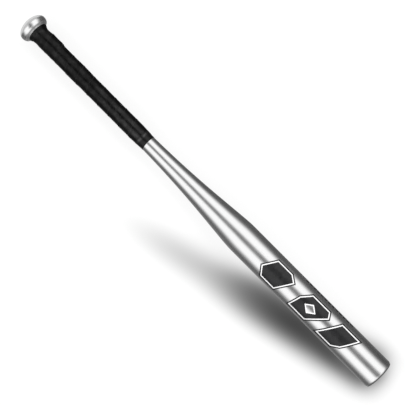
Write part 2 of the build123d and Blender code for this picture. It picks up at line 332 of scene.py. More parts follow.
# ------------------------------------------------------------------ materials
def make_materials():
    m = {}
    m["tube"] = satin_aluminium("satin_aluminium", (0.81, 0.81, 0.812), 0.215).mat

    s = satin_aluminium("turned_aluminium", (0.82, 0.82, 0.822), 0.215, turned=0.9, smudge=1.4)
    # small bright nicks round the widest part of the knob, where it gets knocked
    x, y, z = s.xyz(s.p)[:3]
    rad = s.math("SQRT", s.math("ADD", s.math("MULTIPLY", y, y), s.math("MULTIPLY", z, z)))
    rim = s.range(rad, 23.8, 25.1, 0.0, 1.0)
    nick = s.ramp(s.voronoi(s.p, 0.32), [(0.0, 1.0), (0.10, 0.7), (0.16, 0.0), (1.0, 0.0)])
    nick = s.math("MULTIPLY", nick, rim)
    s.set(Normal=s.bump(s.math("MULTIPLY", nick, -1.0), 0.45, 0.00010, s.bsdf.inputs["Normal"].links[0].from_socket))
    m["knob"] = s.mat

    s = Shader("grip_leather")
    strip = s.uv("strip")
    u, v = s.xyz(strip)[:2]
    warp = s.noise(s.p, 0.22, 3.0, 0.5)
    cell = s.voronoi(s.vec("ADD", s.p, s.vec("SCALE", s.combine(warp, warp, warp), scale=2.5)), 0.95, "F1")
    cell2 = s.voronoi(s.p, 2.1, "DISTANCE_TO_EDGE")
    fine = s.noise(s.p, 4.5, 4.0, 0.6)
    broad = s.noise(s.p, 0.05, 3.0, 0.55)
    crease = s.noise(s.combine(s.math("MULTIPLY", u, 0.30), s.math("MULTIPLY", v, 0.07), 0.0), 1.0, 3.0, 0.5, 0.6)
    crease = s.ramp(crease, [(0.0, 1.0), (0.44, 1.0), (0.485, 0.0), (0.53, 1.0), (1.0, 1.0)], "EASE")
    edge = s.ramp(s.math("DIVIDE", v, 30.0), [(0.0, 1.0), (0.020, 0.9), (0.055, 0.0), (1.0, 0.0)])
    col = s.mix(s.range(broad, 0.3, 0.7, 0.0, 1.0), (0.0006, 0.0006, 0.0006), (0.0018, 0.0017, 0.0018))
    col = s.mix(s.math("MULTIPLY", edge, 0.5), col, (0.013, 0.013, 0.013))
    col = s.mix(s.math("MULTIPLY", s.math("SUBTRACT", 1.0, crease), 0.35), col, (0.0022, 0.0022, 0.0022))
    s.set(Base_Color=col)
    rough = s.math("ADD", s.range(broad, 0.3, 0.7, 0.12, 0.20), s.math("MULTIPLY", s.math("SUBTRACT", fine, 0.5), 0.12))
    rough = s.math("SUBTRACT", rough, s.math("MULTIPLY", edge, 0.06))
    s.set(Roughness=s.math("MULTIPLY", rough, s.range(s.xyz(s.p)[0], 130.0, 200.0, 1.0, 0.50)))
    sheen_with_painted_shade = s.range(s.xyz(s.p)[0], 160.0, 250.0, 0.20, 0.41)
    rubbed = s.range(s.noise(s.p, 0.11, 2.0, 0.5), 0.42, 0.66, 0.80, 1.45)
    face = s.nt.nodes.new("ShaderNodeLayerWeight")
    face.inputs[0].default_value = 0.5
    # the sheen fades where the wrap is seen edge-on, which darkens its sides: painted shade
    sheen_with_painted_shade = s.math("MULTIPLY", s.math("MULTIPLY", sheen_with_painted_shade, rubbed), s.range(face.outputs["Facing"], 0.30, 0.92, 1.0, 0.22))
    sheen_with_painted_shade = s.math("MULTIPLY", sheen_with_painted_shade, s.range(s.xyz(s.p)[0], 28.0, 36.0, 1.45, 1.0))
    # towards the tape the sheen is cut where the wrap faces the viewer and in a ring around that, so it gathers into
    # two narrower streaks: painted shade
    painted_shade_streaks = s.math("ADD", s.range(face.outputs["Facing"], 0.08, 0.24, 0.0, 0.34), s.range(face.outputs["Facing"], 0.004, 0.028, 0.42, 0.0))
    painted_shade_streaks = s.math("MULTIPLY", painted_shade_streaks, s.range(s.xyz(s.p)[0], 150.0, 215.0, 0.0, 1.0))
    sheen_with_painted_shade = s.math("MULTIPLY", sheen_with_painted_shade, s.math("SUBTRACT", 1.0, painted_shade_streaks))
    s.set(**{"Specular_IOR_Level": sheen_with_painted_shade})
    # the wrap is pulled down harder on one side, which tips its face a few degrees
    geo = s.nt.nodes.new("ShaderNodeNewGeometry")
    tipped = s.vec("NORMALIZE", s.vec("ADD", geo.outputs["Normal"], (0.0, -0.05, 0.0)))
    n1 = s.bump(s.math("SUBTRACT", 1.0, cell), 0.14, 0.00018, tipped)
    n2 = s.bump(s.range(cell2, 0.0, 0.12, 0.0, 1.0), 0.13, 0.00006, n1)
    n3 = s.bump(fine, 0.13, 0.00005, n2)
    s.set(Normal=s.bump(crease, 0.28, 0.00025, n3))
    m["grip"] = s.mat

    s = Shader("finishing_tape_vinyl")
    wr = s.noise(s.combine(s.math("MULTIPLY", s.xyz(s.p)[0], 0.35), s.math("MULTIPLY", s.xyz(s.p)[1], 0.12), s.math("MULTIPLY", s.xyz(s.p)[2], 0.12)), 1.0, 3.0, 0.5, 0.8)
    fine = s.noise(s.p, 3.0, 3.0, 0.5)
    x = s.xyz(s.p)[0]
    # stretched tight over the wrap's last edge, unevenly, so its gloss has soft borders
    drift = s.math("MULTIPLY", s.math("SUBTRACT", s.noise(s.p, 0.11, 2.0), 0.5), 3.0)
    xt = s.math("ADD", x, drift)
    taut = s.math("MULTIPLY", s.range(xt, 270.8, 273.6, 0.0, 1.0, kind="SMOOTHSTEP"), s.range(xt, 274.4, 277.4, 1.0, 0.0, kind="SMOOTHSTEP"))
    taut = s.math("MULTIPLY", taut, s.range(s.noise(s.p, 0.35, 3.0), 0.38, 0.62, 0.55, 1.0))
    s.set(Base_Color=s.mix(wr, (0.0025, 0.0025, 0.0025), (0.0045, 0.0045, 0.0045)))
    s.set(Roughness=s.math("SUBTRACT", s.range(fine, 0.3, 0.7, 0.20, 0.30), s.math("MULTIPLY", taut, 0.11)))
    s.set(**{"Specular_IOR_Level": s.math("ADD", s.math("MULTIPLY", taut, 0.68), 0.28)})
    s.set(Normal=s.bump(wr, 0.35, 0.0003, s.bump(fine, 0.15, 0.00004)))
    m["tape"] = s.mat

    s = Shader("end_cap_urethane")
    grain = s.noise(s.p, 3.2, 5.0, 0.65)
    pits = s.voronoi(s.p, 1.8)
    broad = s.noise(s.p, 0.08, 3.0, 0.5)
    s.set(Base_Color=s.mix(broad, (0.052, 0.052, 0.053), (0.076, 0.076, 0.077)), Roughness=s.range(grain, 0.3, 0.7, 0.46, 0.62))
    s.set(Normal=s.bump(pits, 0.16, 0.00008, s.bump(grain, 0.30, 0.00006)))
    m["cap"] = s.mat

    s = Shader("plug_rubber")
    grain = s.noise(s.p, 2.4, 5.0, 0.7)
    dust = s.noise(s.p, 0.3, 4.0, 0.6)
    s.set(Base_Color=s.mix(s.range(dust, 0.45, 0.7, 0.0, 1.0), (0.016, 0.016, 0.016), (0.040, 0.039, 0.037)), Roughness=s.range(grain, 0.3, 0.7, 0.58, 0.76))
    s.set(Normal=s.bump(grain, 0.35, 0.00008))
    m["plug"] = s.mat

    def ink(name, low, high, r0, r1, spec):
        s = Shader(name)
        mottle = s.noise(s.p, 0.16, 4.0, 0.6)
        mesh = s.noise(s.p, 5.5, 2.0, 0.5)
        pin = s.ramp(s.voronoi(s.p, 0.9), [(0.0, 1.0), (0.035, 0.0), (1.0, 0.0)])
        c = s.mix(s.range(mottle, 0.3, 0.7, 0.0, 1.0), low, high)
        s.set(Base_Color=c, Roughness=s.math("ADD", s.range(mottle, 0.3, 0.7, r0, r1), s.math("MULTIPLY", s.math("SUBTRACT", mesh, 0.5), 0.10)))
        s.set(**{"Specular_IOR_Level": spec})
        s.set(Normal=s.bump(s.math("MULTIPLY", pin, -1.0), 0.3, 0.00003, s.bump(mesh, 0.18, 0.00002)))
        return s.mat

    m["ink_dark"] = ink("print_ink_dark", (0.0070, 0.0070, 0.0074), (0.016, 0.016, 0.017), 0.26, 0.36, 0.32)
    m["ink_outline"] = ink("print_ink_outline", (0.010, 0.010, 0.011), (0.022, 0.022, 0.023), 0.28, 0.38, 0.32)
    m["ink_white"] = ink("print_ink_white", (0.80, 0.80, 0.80), (0.88, 0.88, 0.88), 0.34, 0.44, 0.5)

    # pieces under the grip and inside the tube
    s = satin_aluminium("weld_bead_metal", (0.55, 0.55, 0.55), 0.45)
    m["weld"] = s.mat
    s = Shader("foam_plug")
    cells = s.voronoi(s.p, 0.9)
    s.set(Base_Color=s.mix(cells, (0.16, 0.16, 0.165), (0.28, 0.28, 0.285)), Roughness=0.85, Normal=s.bump(cells, 0.6, 0.0005))
    m["foam"] = s.mat
    for key, name, c0, c1 in (("underlay", "underlay_tape_weave", (0.50, 0.47, 0.38), (0.66, 0.63, 0.53)), ("build", "build_up_tape_weave", (0.03, 0.03, 0.03), (0.06, 0.06, 0.06))):
        s = Shader(name)
        x, y, z = s.xyz(s.p)[:3]
        warp_l = s.math("SINE", s.math("MULTIPLY", x, 8.0))
        weft_l = s.math("SINE", s.math("MULTIPLY", s.math("ARCTAN2", y, z), 90.0))
        weave = s.math("MULTIPLY", warp_l, weft_l)
        s.set(Base_Color=s.mix(s.range(weave, -1.0, 1.0, 0.0, 1.0), c0, c1), Roughness=0.8, Normal=s.bump(weave, 0.5, 0.0001))
        m[key] = s.mat
    return m


M = make_materials()

# ------------------------------------------------------------------ bat tube
slope = (HANDLE_TOP_R - HANDLE_R) / (HANDLE_TOP_X - HANDLE_CONE_X)
outer_pts = [(HANDLE_TOP_X, HANDLE_TOP_R)] + TAPER + [(BARREL_X, BARREL_R)]
outer = spline(outer_pts, slope, 0.0, 3.0)


def wall_at(x):
    k = min(1.0, max(0.0, (x - HANDLE_TOP_X) / (BARREL_X - HANDLE_TOP_X)))
    return 2.4 + (1.7 - 2.4) * k


inner = spline([(x, r - wall_at(x)) for x, r in outer_pts], slope, 0.0, 9.0)[::-1]
tube_loop = joined(
    line((11.0, HANDLE_R), (HANDLE_CONE_X, HANDLE_R), 12.0),
    line((HANDLE_CONE_X, HANDLE_R), (HANDLE_TOP_X, HANDLE_TOP_R), 12.0),
    outer,
    line((BARREL_X, BARREL_R), (MOUTH_X - 3.2, BARREL_R), 10.0),
    arc3((MOUTH_X - 3.2, BARREL_R), (MOUTH_X - 1.12, BARREL_R - 0.224), (MOUTH_X, 26.2), 9),
    [(MOUTH_X - 0.02, 26.10), (MOUTH_X, 26.02)],
    [(MOUTH_X, 23.7), (MOUTH_X - 4.5, 23.7), (MOUTH_X - 6.1, 25.3)],
    line((MOUTH_X - 6.1, 25.3), (BARREL_X, 25.3), 24.0),
    inner,
    line(inner[-1], (HANDLE_CONE_X, HANDLE_R - 2.4), 24.0),
    [(11.0, HANDLE_R - 2.4)],
)
finish_piece(revolved("bat_tube_shell", tube_loop, 288), "satin_aluminium", M["tube"], "bat_tube")

# ------------------------------------------------------------------ end cap
sk, rib_r, rib_x, cav = 23.65, 25.15, MOUTH_X - 6.3, 21.05
flange = arc3((LENGTH - 1.2, 25.8), (LENGTH - 1.2 + 1.2 * math.sin(math.pi / 4), 25.8 - 1.2 * (1 - math.cos(math.pi / 4))), (LENGTH, 24.6), 9)
dish = [(LENGTH, 15.0), (LENGTH - 0.06, 14.75)] + [
    (LENGTH - 1.2 + 1.1 * (r / 14.75) ** 5, r) for r in np.linspace(14.2, 0.0, 26)]


def groove(r, w=0.5, d=0.35):
    return [(LENGTH, r + w), (LENGTH - 0.12 * d, r + 0.8 * w), (LENGTH - d, r + 0.35 * w), (LENGTH - d, r - 0.35 * w), (LENGTH - 0.12 * d, r - 0.8 * w), (LENGTH, r - w)]


cap_loop = joined(
    [(LENGTH - 2.0, 25.72), (LENGTH - 1.92, 25.8)], flange, [(LENGTH, 23.8)],
    groove(22.2), groove(17.2), dish,
    [(MOUTH_X - 1.6, 0.0), (MOUTH_X - 1.6, cav - 2.0), (MOUTH_X - 3.6, cav), (LENGTH - 15.0, cav), (LENGTH - 15.0, sk - 0.8),
     (rib_x - 4.0, rib_r), (rib_x, rib_r), (rib_x, sk), (MOUTH_X, sk), (MOUTH_X, 25.72)],
)
finish_piece(revolved("end_cap_moulding", cap_loop, 256, sharp=50.0), "end_cap_urethane", M["cap"], "end_cap")

# ------------------------------------------------------------------ knob, plug
KR, KD, KF = 25.5, 14.0, 10.0
kc = KD * math.sqrt(1 - (KF / KR) ** 2)
ta = np.linspace(math.asin(KF / KR), math.pi / 2, 44)
dome = np.column_stack([kc - KD * np.cos(ta), KR * np.sin(ta)])
back = spline([(kc, KR), (16.4, 25.05), (19.2, 23.92)], 0.0, -0.62, 0.5)
corner = arc3(tuple(back[-1]), (20.18, 23.15), (20.78, 22.20), 7)
knob_loop = joined(
    [(0.0, 8.62), (0.0, 9.2), (0.03, 9.7)], dome[1:], back, corner,
    # a turned crease, then the sloping back with its bright lip
    [(20.62, 22.02), (20.36, 21.92), (20.30, 21.74), (20.44, 21.58), (20.80, 21.56)],
    line((20.80, 21.56), (22.55, 19.76), 0.5),
    arc3((22.55, 19.72), (23.02, 19.36), (23.2, 18.95), 5),
    [(23.2, 17.2)],
    arc3((23.2, 17.2), (27.2, 14.75), (33.0, 13.7), 12),
    [(33.0, 13.0), (11.0, 13.0), (11.0, 7.0), (1.75, 7.0), (1.7, 8.55), (0.12, 8.55)],
)
finish_piece(revolved("knob_turning", knob_loop, 256, sharp=40.0), "knob_aluminium", M["knob"], "knob")

plug_loop = joined(
    [(0.9, 0.0)], [(0.9 - 0.55 * (r / 2.6) ** 3, r) for r in np.linspace(0.2, 2.6, 9)],
    [(0.28, 2.9), (0.12, 3.4), (0.02, 3.9)], line((0.0, 4.2), (0.0, 7.9), 0.8),
    arc3((0.0, 7.95), (0.16, 8.34), (0.55, 8.5), 6),
    [(1.6, 8.5), (1.6, 6.98), (14.0, 6.98), (16.0, 5.4), (16.0, 0.0)],
)
finish_piece(revolved("knob_plug_rubber", plug_loop, 128, sharp=40.0), "plug_rubber", M["plug"], "knob_plug")

# ------------------------------------------------------------------ grip strip
# One strip wound in a spiral: each turn's knob-side edge lies on the turn before.
rng = np.random.default_rng(7)
GX0, GX1 = 23.28, 278.9
PITCH, WIDTH = 25.0, 30.0
OVER = WIDTH - PITCH
grip_outer = np.array([(23.0, 18.62), (24.0, 18.55), (26.2, 17.68), (29.6, 15.60), (33.0, 15.15), (36.4, 15.25), (43.2, 16.00), (53.3, 16.06),
                       (56.7, 15.80), (67.0, 15.74), (70.0, 15.50), (77.0, 15.20), (104.0, 15.28), (110.0, 15.55), (121.0, 15.55), (131.0, 15.34),
                       (141.0, 15.04), (191.0, 15.00), (208.0, 14.94), (218.0, 15.06), (261.0, 15.10), (267.5, 14.82), (271.5, 14.50), (279.2, 13.96)])
grip_inner = np.array([(23.0, 17.50), (27.2, 15.02), (31.0, 14.20), (33.0, 14.05), (38.5, 14.17), (68.0, 14.17), (75.5, 13.36), (160.0, 13.36),
                       (277.6, 13.95), (278.2, 13.66), (279.2, 13.66)])
gx = np.arange(22.0, 281.0, 0.25)
ker = np.exp(-0.5 * (np.arange(-12, 13) * 0.25 / 1.1) ** 2)
ker /= ker.sum()
go = np.interp(gx, grip_outer[:, 0], grip_outer[:, 1])
go = np.convolve(np.pad(go, 12, mode="edge"), ker, "valid")
waves = [(rng.uniform(0.10, 0.42), int(rng.integers(0, 4)), rng.uniform(0, 6.283), rng.uniform(0.5, 1.0)) for _ in range(16)]


def smooth01(t):
    t = np.clip(t, 0.0, 1.0)
    return t * t * (3 - 2 * t)


def grip_surface(x, th):
    """Outside radius of a wound turn, with the small unevenness of hand winding."""
    r = np.interp(x, gx, go)
    w = np.zeros_like(x)
    for k, c, ph, amp in waves:
        w += amp * np.sin(k * x + c * th + ph)
    fade = smooth01((x - 26.0) / 12.0) * smooth01((268.0 - x) / 10.0)
    r = r + 0.028 * w * fade
    # the first turns sit lopsided over their doubled start, then step down
    r = r + 0.50 * np.cos(th - 0.25) * smooth01((x - 38.0) / 10.0) * smooth01((70.5 - x) / 5.0)
    r = r + 0.60 * np.maximum(0.0, np.cos(th - 0.25)) ** 2 * smooth01((x - 54.0) / 12.0) * smooth01((71.3 - x) / 2.6)
    # a few pinched creases that run across the wrap
    for cx, cth, slope_c, length, depth in ((150.5, 1.50, 0.55, 9.0, 0.30), (97.0, 2.05, -0.4, 7.0, 0.18), (203.0, 1.15, 0.5, 8.0, 0.20),
                                            (60.0, 4.4, 0.5, 8.0, 0.22), (178.0, 5.0, -0.6, 9.0, 0.25), (238.0, 3.2, 0.4, 8.0, 0.22), (122.0, 5.9, 0.6, 7.0, 0.2)):
        dth = (th - cth + math.pi) % (2 * math.pi) - math.pi
        arc = 14.9 * dth
        across = (x - cx) - slope_c * arc
        r = r - depth * np.exp(-(across / 0.9) ** 2) * np.exp(-(arc / length) ** 2) + 0.45 * depth * np.exp(-((across - 1.9) / 1.2) ** 2) * np.exp(-(arc / length) ** 2)
    return r


def grip_strip():
    per_turn = 120
    top_a = np.array([0.0, 0.05, 0.14, 0.28, 0.45, 0.7, 1.1, 1.7, 2.5, 3.4, 4.4, 5.4, 6.6, 8.0, 9.6, 11.2, 12.8, 14.4, 16.0, 17.6, 19.2, 20.7, 22.0, 23.2, 24.2, 25.0, 25.8, 27.0, 28.4, 29.5, 30.0]) / WIDTH
    bot_a = np.array([30.0, 29.0, 27.0, 25.0, 20.0, 14.0, 9.0, 6.0, 5.0, 4.0, 2.5, 1.2, 0.4, 0.0]) / WIDTH
    th0 = 2 * math.pi * 0.9 / PITCH
    th1 = 2 * math.pi * (GX1 - GX0 + WIDTH - 0.9) / PITCH
    th = np.linspace(th0, th1, int((th1 - th0) / (2 * math.pi) * per_turn))
    wob = 0.45 * np.sin(1.7 * th + 0.4) * np.sin(0.37 * th) + 0.25 * np.sin(4.1 * th + 1.0)
    verts, uvs = [], []
    rows = len(top_a) + len(bot_a)
    for t, dx in zip(th, wob):
        xc = GX0 - WIDTH + PITCH * t / (2 * math.pi)
        inside = min(1.0, max(0.0, (xc - GX0) / 6.0)) * min(1.0, max(0.0, (GX1 - xc - WIDTH) / 6.0))
        xc += dx * inside
        lo, hi = max(0.0, GX0 - xc), min(WIDTH, GX1 - xc)
        a = lo + (hi - lo) * top_a
        x = xc + a
        ang = np.full_like(a, t)
        base = grip_surface(x, ang % (2 * math.pi))
        low = np.interp(x, grip_inner[:, 0], grip_inner[:, 1]) + 0.02
        thick = base - low
        prev = 1.0 if t > 2 * math.pi else 0.0
        ridge = 0.40 * prev * (1 - smooth01(a / (OVER + 1.5))) * smooth01((269.5 - x) / 4.5)
        skive = np.where(a > PITCH - 3.0, 0.16 * smooth01((a - PITCH + 3.0) / 3.0), 0.0)
        skive = np.where(a > PITCH, 0.16 + (thick - 0.22) * np.clip((a - PITCH) / OVER, 0, 1), skive)
        d0 = a - lo
        rr = 0.42
        round0 = np.where(d0 < rr, rr - np.sqrt(np.maximum(0.0, rr * rr - (rr - d0) ** 2)), 0.0)
        top = base + ridge - skive - np.minimum(round0, thick - 0.15)
        top = np.maximum(top, low + 0.06)
        for xx, rad, aa in zip(x, top, a):
            verts.append((xx, rad * math.cos(t), rad * math.sin(t)))
            uvs.append((t * 15.0, aa))
        a = lo + (hi - lo) * bot_a
        x = xc + a
        base = grip_surface(x, np.full_like(a, t) % (2 * math.pi))
        low = np.interp(x, grip_inner[:, 0], grip_inner[:, 1]) + 0.02
        thick = base - low
        under_prev = base - (0.16 + (thick - 0.22) * np.clip(a / OVER, 0, 1)) + 0.03
        bottom = np.where((a < OVER) & (prev > 0), np.maximum(under_prev, low), low)
        for xx, rad, aa in zip(x, bottom, a):
            verts.append((xx, rad * math.cos(t), rad * math.sin(t)))
            uvs.append((t * 15.0, aa))
    cols = len(th)
    faces = []
    for i in range(cols - 1):
        b0, b1 = i * rows, (i + 1) * rows
        for k in range(rows):
            k2 = (k + 1) % rows
            faces.append((b0 + k, b1 + k, b1 + k2, b0 + k2))
    # each end is closed by a strip of quads between top and bottom
    for b, flip in ((0, False), ((cols - 1) * rows, True)):
        ring = list(range(b, b + rows))
        faces.append(tuple(ring if flip else ring[::-1]))
    # the radius must grow outwards in +Z for angle 90 degrees: verts use (cos, sin) as (y, z)
    obj = to_object("grip_strip", verts, faces, sharp=38.0)
    layer = obj.data.uv_layers.new(name="strip")
    idx = np.zeros(len(obj.data.loops), np.int32)
    obj.data.loops.foreach_get("vertex_index", idx)
    layer.data.foreach_set("uv", np.array(uvs, np.float32)[idx].ravel())
    return obj


finish_piece(grip_strip(), "grip_leather", M["grip"], "grip_wrap")

# Finishing tape: a little over one turn of thin vinyl, with its free end as a low step.
tape_profile = np.array([(270.5, 14.86), (271.6, 14.78), (279.3, 14.16), (280.4, 13.98), (286.5, 13.89)])


def tape_wobble(x, r, ang):
    if r < np.interp(x, tape_profile[:, 0], tape_profile[:, 1]) - 0.08:
        return np.zeros_like(ang)
    over = 0.5 + 0.5 * np.tanh(((ang - 1.05) % (2 * math.pi) - 0.02) * 60.0)
    turn = ((ang - 1.05) % (2 * math.pi))
    lap = np.where(turn < 0.9, 0.11, 0.11 * np.clip(1 - (turn - 0.9) / 5.0, 0, 1) * 0.2)
    wr = 0.03 * np.sin(3 * ang + 0.8 * x) + 0.02 * np.sin(7 * ang - 0.5 * x + 1.0)
    return lap * over + wr


tape_in = joined([(270.5, 14.66), (271.5, 14.54), (278.9, 14.06), (279.4, 13.66), (286.5, 13.70)])
tape_loop = joined(
    [(270.5, 14.72), (270.42, 14.82)], line((270.6, 14.88), (271.6, 14.80), 0.5), line((271.6, 14.80), (279.3, 14.18), 0.7),
    line((279.3, 14.18), (280.6, 14.00), 0.5), line((280.6, 14.00), (286.1, 13.93), 0.6), [(286.42, 13.89), (286.52, 13.81), (286.5, 13.72)],
    tape_in[::-1],
)
band = revolved("grip_finishing_band", tape_loop, 240, sharp=45.0, wobble=tape_wobble)
for v in band.data.vertices:
    # wound slightly askew, so the bare edge is not quite square to the handle
    v.co.x += (0.45 * v.co.y / 0.0137 + 0.15 * math.sin(5 * math.atan2(v.co.z, v.co.y))) * -MM * min(1.0, max(0.0, (v.co.x / MM - 279.0) / 6.0))
finish_piece(band, "finishing_tape", M["tape"], "grip_finishing_tape")

# ------------------------------------------------------------------ print
INK = 0.07
BLOCKS = [
    [(559.0, -8.0), (568.5, -20.3), (596.0, -20.3), (612.5, 6.5), (602.0, 13.9), (572.5, 13.9)],
    [(632.0, -20.3), (665.0, -20.3), (690.5, 6.0), (685.5, 13.9), (650.0, 13.9), (637.0, -1.0)],
    [(694.0, -20.3), (723.0, -20.3), (734.5, -12.0), (749.5, 13.9), (715.0, 13.9)],
]
WINDOW = [(648.0, -3.4), (660.0, -12.4), (672.0, -3.4), (660.0, 5.6)]
INLINE_W, OUTLINE_W = 1.7, 2.1


def grown(poly, d):
    """A convex counter-clockwise polygon moved outwards by d, with mitred corners."""
    p = [Vector(q) for q in poly]
    n = len(p)
    out = []
    for i in range(n):
        a, b, c = p[i - 1], p[i], p[(i + 1) % n]
        n1 = Vector(((b - a).y, -(b - a).x)).normalized()
        n2 = Vector(((c - b).y, -(c - b).x)).normalized()
        k = (n1 + n2).normalized()
        out.append(tuple(b + k * (d / k.dot(n1))))
    return out


def print_piece(name, shapes, material, slot, step, *nodes):
    """Flat shapes laid on the barrel: each is an outline, or an outline and the hole in it."""
    bm = bmesh.new()
    for shape in shapes:
        loops = shape if isinstance(shape, tuple) else (shape,)
        edges = []
        for loop in loops:
            vs = [bm.verts.new((x, y, 0)) for x, y in loop]
            edges += [bm.edges.new((vs[k], vs[(k + 1) % len(vs)])) for k in range(len(vs))]
        bmesh.ops.triangle_fill(bm, use_beauty=True, edges=edges, normal=(0, 0, 1))
    ys = [v.co.y for v in bm.verts]
    cut = math.floor(min(ys) / step) * step
    while cut < max(ys):
        bmesh.ops.bisect_plane(bm, geom=list(bm.verts) + list(bm.edges) + list(bm.faces), plane_co=(0, cut, 0), plane_no=(0, 1, 0), dist=1e-5)
        cut += step
    bmesh.ops.recalc_face_normals(bm, faces=bm.faces)
    if bm.faces[:][0].normal.z < 0:
        bmesh.ops.reverse_faces(bm, faces=bm.faces)
    top = list(bm.faces)
    ext = bmesh.ops.extrude_face_region(bm, geom=top, use_keep_orig=True)
    new = [e for e in ext["geom"] if isinstance(e, bmesh.types.BMVert)]
    new_set = set(new)
    for v in bm.verts:
        rad = BARREL_R + (INK if v in new_set else -0.03)
        v.co.z = math.sqrt(max(0.0, rad * rad - (v.co.y * rad / (BARREL_R + INK)) ** 2))
        v.co.y = v.co.y * rad / (BARREL_R + INK)
    bmesh.ops.recalc_face_normals(bm, faces=bm.faces)
    bmesh.ops.scale(bm, vec=(MM, MM, MM), verts=bm.verts)
    mesh = bpy.data.meshes.new(name)
    bm.to_mesh(mesh)
    bm.free()
    mesh.shade_smooth()
    mesh.set_sharp_from_angle(angle=math.radians(30))
    obj = bpy.data.objects.new(name, mesh)
    bpy.context.scene.collection.objects.link(obj)
    return finish_piece(obj, slot, material, *nodes)


print_piece("print_block_fill", [BLOCKS[0], (BLOCKS[1], WINDOW), BLOCKS[2]], M["ink_dark"], "print_dark_ink", 1.0, "print_dark")
print_piece("print_block_outline", [(grown(b, INLINE_W + OUTLINE_W), grown(b, INLINE_W)) for b in BLOCKS], M["ink_outline"], "print_dark_ink", 1.0)
print_piece("print_block_inline", [(grown(b, INLINE_W), b) for b in BLOCKS] + [(WINDOW, grown(WINDOW, -INLINE_W))], M["ink_white"], "print_white_ink", 1.0, "print_white")
DASHES = [(625.0 + 8.15 * i, 5.8) for i in range(13)]
print_piece("print_side_row", [[(x, 24.3), (x + w, 24.3), (x + w, 26.0), (x, 26.0)] for x, w in DASHES], M["ink_dark"], "print_dark_ink", 0.25, "print_side_dashes")

# ------------------------------------------------------------------ hidden CAD pieces keep their mesh
for node, mat in (("knob_weld_bead", "weld"), ("throat_damping_plug", "foam"), ("grip_underlay", "underlay"), ("grip_build_up", "build")):
    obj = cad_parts[node]
    obj.data.materials.clear()
    obj.data.materials.append(M[mat])

# ------------------------------------------------------------------ studio
scene = bpy.context.scene
scene.view_settings.view_transform = "Standard"
scene.view_settings.look = "None"


